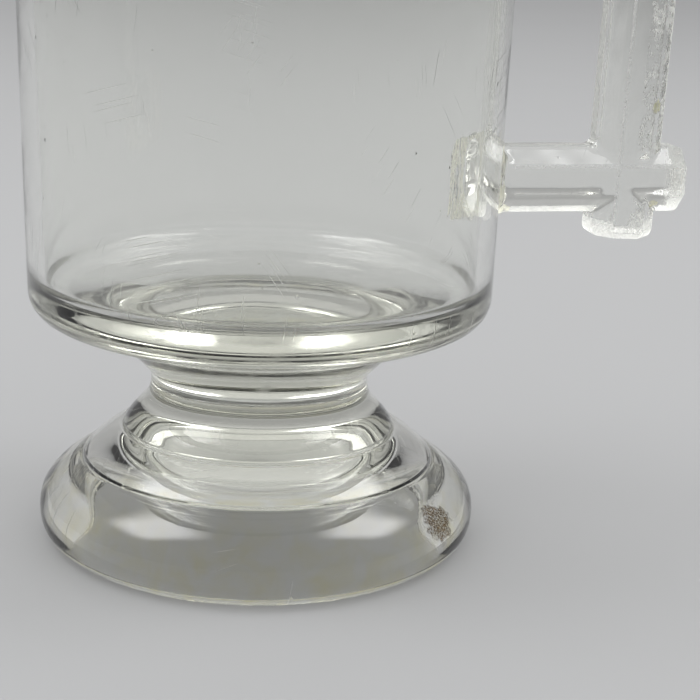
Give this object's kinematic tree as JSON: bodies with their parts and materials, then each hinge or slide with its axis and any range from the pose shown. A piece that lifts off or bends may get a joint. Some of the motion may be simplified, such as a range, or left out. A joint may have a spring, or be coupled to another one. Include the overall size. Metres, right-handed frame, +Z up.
{
  "type": "creamer",
  "caption": "Footed cream jug of clear pressed glass: tall plain bowl with a pouring lip, tiered hollow foot, and a handle of crossed square logs.",
  "frame": {"origin": "on the surface the jug stands on, halfway between the tip of the pouring lip and the end of the upper handle log", "axes": "+Z up along the jug's height, +X from the bowl towards the handle, the pouring lip towards -X, and y = 0 the plane through handle and lip"},
  "size_m": [0.1316, 0.0874, 0.1438],
  "materials": {
    "clear_glass": "fire-polished, with a faint straw tint where it is thick"
  },
  "bodies": {
    "root": {"foot": "clear_glass", "stem": "clear_glass", "bowl": "clear_glass", "handle_lower_log": "clear_glass", "handle_upright_log": "clear_glass", "handle_upper_log": "clear_glass"}
  },
  "joints": []
}
